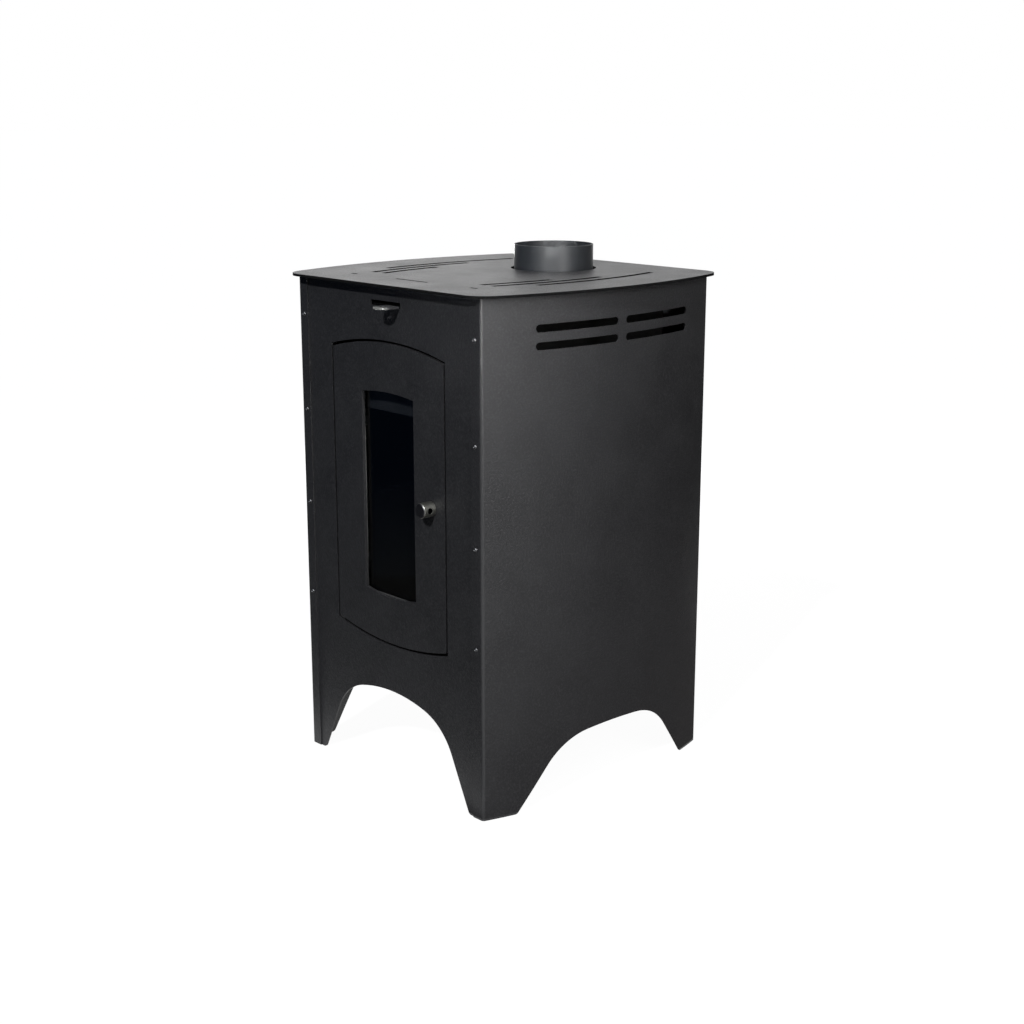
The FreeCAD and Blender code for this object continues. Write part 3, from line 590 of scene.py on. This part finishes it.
def rope_points(half_x, half_z):
    """Points of the rope's loop about its centre, a step or less apart."""
    path = []
    for turn, sx, sz in ((0, 1, 1), (1, -1, 1), (2, -1, -1), (3, 1, -1)):
        pivot = Vector((sx * (half_x - rope_corner), 0, sz * (half_z - rope_corner)))
        for i in range(rope_corner_steps + 1):
            angle = (turn + i / rope_corner_steps) * math.pi / 2
            path.append(pivot + rope_corner * Vector((math.cos(angle), 0, math.sin(angle))))
    points = []
    for here, there in zip(path, path[1:] + path[:1]):
        steps = max(1, round((there - here).length / rope_step))
        points += [here.lerp(there, i / steps) for i in range(steps)]
    return points


def squared(value):
    """A sine or cosine, pushed out towards 1 or -1."""
    return math.copysign(abs(value) ** rope_square, value)


def door_rope():
    """Braided rope pressed into its channel round the back of the door."""
    low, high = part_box("door_rope")
    centre = (low + high) / 2
    points = rope_points((high.x - low.x - rope_width) / 2, (high.z - low.z - rope_width) / 2)
    total = sum((b - a).length for a, b in zip(points, points[1:] + points[:1]))
    wraps = round(total / braid_pitch)
    depth = (high.y - low.y) / 2
    bm = bmesh.new()
    rings = []
    for i, here in enumerate(points):
        along = (points[(i + 1) % len(points)] - points[i - 1]).normalized()
        out = Vector((along.z, 0, -along.x))
        phase = 2 * math.pi * wraps * i / len(points)
        ring = []
        for k in range(rope_sides):
            turn = 2 * math.pi * k / rope_sides
            strands = rope_strands * turn
            relief = braid_height * (max(math.sin(phase + strands), math.sin(phase - strands)) - 1)
            side = (rope_width / 2 + relief) * squared(math.cos(turn))
            rise = (depth + relief) * squared(math.sin(turn))
            ring.append(bm.verts.new(centre + here + out * side + Vector((0, rise, 0))))
        rings.append(ring)
    bridge(bm, rings, closed_along=True)
    bmesh.ops.recalc_face_normals(bm, faces=bm.faces)
    piece = new_piece("door_rope_look", bm, "door", "rope_fibre")
    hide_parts("door_rope")


def glass_tape():
    """Flat woven tape between the door plate and the glass, a little rounded at its edges."""
    low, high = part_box("glass_tape")
    bm = bmesh.new()
    rings = []
    for inset, y in ((0.0, low.y), (0.0, high.y), (1.0, high.y), (1.0, low.y)):
        x0, x1 = low.x + tape_side * inset, high.x - tape_side * inset
        z0, z1 = low.z + tape_end * inset, high.z - tape_end * inset
        rings.append([bm.verts.new((x, y, z)) for x, z in ((x0, z0), (x1, z0), (x1, z1), (x0, z1))])
    bridge(bm, rings, closed_along=True)
    bmesh.ops.recalc_face_normals(bm, faces=bm.faces)
    # Painted light and shade: pale only up the middle of its sides and behind its front face; its ends
    # and front edge stay dark
    painted_light_spans = (
        ("Z", *(low.z + rise for rise in tape_painted_light_bottom)),
        ("Z", *(high.z - drop for drop in tape_painted_light_top)),
        ("Y", *(low.y + depth for depth in tape_painted_light_back)),
    )
    look = fibre("tape_look", tape_shade, tape_painted_light_grey, painted_light_spans)
    piece = new_piece("glass_tape_look", bm, "door", "rope_fibre", look)
    round_edges(piece, tape_round, tape_round_steps)
    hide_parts("glass_tape")


def collar_seam():
    """Weld along the inside of the rolled collar."""
    low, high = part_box("flue_collar")
    centre = (low + high) / 2
    inner = (high.x - low.x) / 2 - collar_wall
    outward = Vector((math.cos(seam_turn), math.sin(seam_turn), 0))
    across = Vector((-outward.y, outward.x, 0))
    foot = Vector((centre.x, centre.y, 0))
    bm = bmesh.new()
    rings = []
    for i in range(seam_rows + 1):
        z = low.z + (high.z - low.z - seam_top_gap) * i / seam_rows
        ripple = math.cos(2 * math.pi * (z - low.z) / seam_ripple)
        crown = seam_height * (1 - seam_swell + seam_swell * ripple)
        places = []
        for k in range(seam_columns + 1):
            share = k / seam_columns * 2 - 1
            side = share * seam_width / 2
            rise = crown * math.sqrt(1 - share * share) if abs(share) < 1 else -seam_skirt
            places.append((math.sqrt(inner ** 2 - side ** 2) - rise, side))
        for share in (0.5, -0.5):
            places.append((inner + seam_root, share * seam_width / 2))
        level = foot + Vector((0, 0, z))
        rings.append([bm.verts.new(level + outward * out + across * side) for out, side in places])
    bridge(bm, rings)
    bm.faces.new(rings[0])
    bm.faces.new(rings[-1])
    bmesh.ops.recalc_face_normals(bm, faces=bm.faces)
    new_piece("collar_seam", bm, "base", "collar_steel")


flange_screws("front_flange_screws", -1)
flange_screws("rear_flange_screws", 1)
glass_screws()
door_rope()
glass_tape()
collar_seam()


# Studio


def seen_rays(tree):
    """1 for what the camera sees directly, in reflections and through glass."""
    light_path = tree.nodes.new("ShaderNodeLightPath")
    result = light_path.outputs["Is Camera Ray"]
    for name in ("Is Glossy Ray", "Is Transmission Ray"):
        larger = tree.nodes.new("ShaderNodeMath")
        larger.operation = "MAXIMUM"
        tree.links.new(result, larger.inputs[0])
        tree.links.new(light_path.outputs[name], larger.inputs[1])
        result = larger.outputs["Value"]
    return result


def studio_world():
    """Surroundings that look white and light the scene only a little."""
    world = bpy.data.worlds.new("studio")
    scene.world = world
    world.use_nodes = True
    tree = world.node_tree
    tree.nodes.clear()
    dim = tree.nodes.new("ShaderNodeBackground")
    dim.inputs["Color"].default_value = (1.0, 1.0, 1.0, 1.0)
    dim.inputs["Strength"].default_value = ambient
    white = tree.nodes.new("ShaderNodeBackground")
    white.inputs["Color"].default_value = (1.0, 1.0, 1.0, 1.0)
    mix = tree.nodes.new("ShaderNodeMixShader")
    output = tree.nodes.new("ShaderNodeOutputWorld")
    tree.links.new(seen_rays(tree), mix.inputs["Fac"])
    tree.links.new(dim.outputs["Background"], mix.inputs[1])
    tree.links.new(white.outputs["Background"], mix.inputs[2])
    tree.links.new(mix.outputs["Shader"], output.inputs["Surface"])


def plane(name, size_x, size_y):
    """Flat panel of the stage, about the origin."""
    mesh = bpy.data.meshes.new(name)
    x = size_x / 2
    y = size_y / 2
    mesh.from_pydata([(-x, -y, 0), (x, -y, 0), (x, y, 0), (-x, y, 0)], [], [(0, 1, 2, 3)])
    made = bpy.data.objects.new(name, mesh)
    scene.collection.objects.link(made)
    return made


def studio_floor():
    """Pale floor that the camera sees as white, with a soft shadow."""
    floor = plane("floor", floor_size, floor_size)
    material = bpy.data.materials.new("floor_look")
    material.use_nodes = True
    tree = material.node_tree
    tree.nodes.clear()
    matt = tree.nodes.new("ShaderNodeBsdfDiffuse")
    matt.inputs["Color"].default_value = (floor_albedo, floor_albedo, floor_albedo, 1.0)
    glow = tree.nodes.new("ShaderNodeEmission")
    glow.inputs["Strength"].default_value = floor_level
    mix = tree.nodes.new("ShaderNodeMixShader")
    share = tree.nodes.new("ShaderNodeMath")
    share.operation = "MULTIPLY"
    share.inputs[1].default_value = floor_glow
    output = tree.nodes.new("ShaderNodeOutputMaterial")
    tree.links.new(seen_rays(tree), share.inputs[0])
    tree.links.new(share.outputs["Value"], mix.inputs["Fac"])
    tree.links.new(matt.outputs["BSDF"], mix.inputs[1])
    tree.links.new(glow.outputs["Emission"], mix.inputs[2])
    tree.links.new(mix.outputs["Shader"], output.inputs["Surface"])
    floor.data.materials.append(material)


def aim(thing, place, target):
    """Puts a lamp or panel in its place, facing the target."""
    thing.location = place
    thing.rotation_euler = (Vector(target) - Vector(place)).to_track_quat("-Z", "Y").to_euler()


def area_light(name, place, target, size, power, spread=180):
    """Rectangular lamp that the camera doesn't see; its light stays within the spread, in degrees."""
    lamp = bpy.data.lights.new(name, "AREA")
    lamp.shape = "RECTANGLE"
    lamp.size, lamp.size_y = size
    lamp.energy = power
    lamp.spread = math.radians(spread)
    made = bpy.data.objects.new(name, lamp)
    scene.collection.objects.link(made)
    made.visible_camera = False
    aim(made, place, target)


def sun_light(name, way, strength, spread, colour):
    """Lamp far off in the given direction."""
    lamp = bpy.data.lights.new(name, "SUN")
    lamp.energy = strength
    lamp.color = colour
    lamp.angle = math.radians(spread)
    made = bpy.data.objects.new(name, lamp)
    scene.collection.objects.link(made)
    aim(made, way, (0, 0, 0))


def dark_flag(name, place, target, size, low, high=None, start=0.0, end=1.0):
    """Dark panel that keeps white surroundings out of the paint's reflections.

    Its tone is low all over, or goes from low to high between two shares of its height.
    """
    flag = plane(name, *size)
    material = bpy.data.materials.new(name + "_look")
    material.use_nodes = True
    tree = material.node_tree
    tree.nodes.clear()
    place_on = tree.nodes.new("ShaderNodeSeparateXYZ")
    tree.links.new(tree.nodes.new("ShaderNodeTexCoord").outputs["Generated"], place_on.inputs["Vector"])
    share = tree.nodes.new("ShaderNodeMapRange")
    share.inputs["From Min"].default_value = start
    share.inputs["From Max"].default_value = end
    tree.links.new(place_on.outputs["Y"], share.inputs["Value"])
    tone = tree.nodes.new("ShaderNodeMix")
    tone.data_type = "RGBA"
    tone.inputs[mix_first].default_value = (*low, 1.0)
    tone.inputs[mix_second].default_value = (*(high or low), 1.0)
    tree.links.new(share.outputs["Result"], tone.inputs[mix_share])
    panel = tree.nodes.new("ShaderNodeEmission")
    tree.links.new(tone.outputs[mix_result], panel.inputs["Color"])
    output = tree.nodes.new("ShaderNodeOutputMaterial")
    tree.links.new(panel.outputs["Emission"], output.inputs["Surface"])
    flag.data.materials.append(material)
    aim(flag, place, target)
    flag.visible_camera = False
    flag.visible_diffuse = False
    flag.visible_shadow = False


def floor_flag(name, x, y, size, tone):
    """Dark panel of one tone that lies on the floor."""
    dark_flag(name, place=(x, y, flag_lift), target=(x, y, 1.0), size=size, low=tone)


def studio_camera():
    """Camera of the photograph's view."""
    lens = bpy.data.cameras.new("camera")
    lens.lens = camera_lens
    lens.sensor_width = camera_sensor
    camera = bpy.data.objects.new("camera", lens)
    scene.collection.objects.link(camera)
    camera.location = camera_place
    camera.rotation_euler = (math.radians(90 - camera_pitch), 0, math.radians(camera_yaw))
    scene.camera = camera


scene.view_settings.view_transform = "Standard"
studio_world()
studio_floor()
sun_light("key", key_way, key_strength, key_spread, key_colour)
area_light("side", place=(1.40, -0.38, 1.25), target=(0.22, -0.12, 0.70), size=(0.30, 0.90), power=22.5)
area_light("edge", place=(1.05, -1.95, 1.00), target=(0.2145, -0.23, 0.77), size=(0.15, 0.15), power=0.02,
           spread=11)
area_light("front", place=(1.53, -1.71, 0.62), target=(0.24, -0.23, 0.79), size=(0.20, 0.15), power=0.15,
           spread=15)
area_light("rear", place=(-2.9, 1.6, 1.25), target=(0.0, 0.0, 0.80), size=(1.6, 0.9), power=3.4)
area_light("back", place=(-1.9, 1.7, 0.50), target=(0.0, 0.10, 0.45), size=(1.0, 0.5), power=60)
area_light("collar", place=(0.21, -0.28, 0.95), target=(0.0, 0.116, 0.86), size=(0.34, 0.06), power=0.42,
           spread=60)
dark_flag("front_flag", place=(-0.85, -0.95, 1.60), target=(0.0, -0.23, 1.60), size=(3.2, 3.2),
          low=(0.038, 0.042, 0.048), high=(0.010, 0.017, 0.034), end=0.075)
dark_flag("right_flag", place=(1.30, -2.20, 1.20), target=(0.0, -0.23, 1.20), size=(2.6, 2.4),
          low=(0.012, 0.013, 0.015))
floor_flag("front_floor_flag", x=-0.75, y=-0.95, size=(2.2, 1.3), tone=(0.03, 0.03, 0.03))
dark_flag("rear_flag", place=(0.59, 1.13, 0.70), target=(0.04, 0.23, 0.70), size=(2.3, 1.4),
          low=(0.0, 0.0, 0.0), high=(0.45, 0.45, 0.45), start=0.30)
floor_flag("rear_floor_flag", x=0.85, y=0.75, size=(1.5, 2.0), tone=(0.20, 0.19, 0.19))
studio_camera()
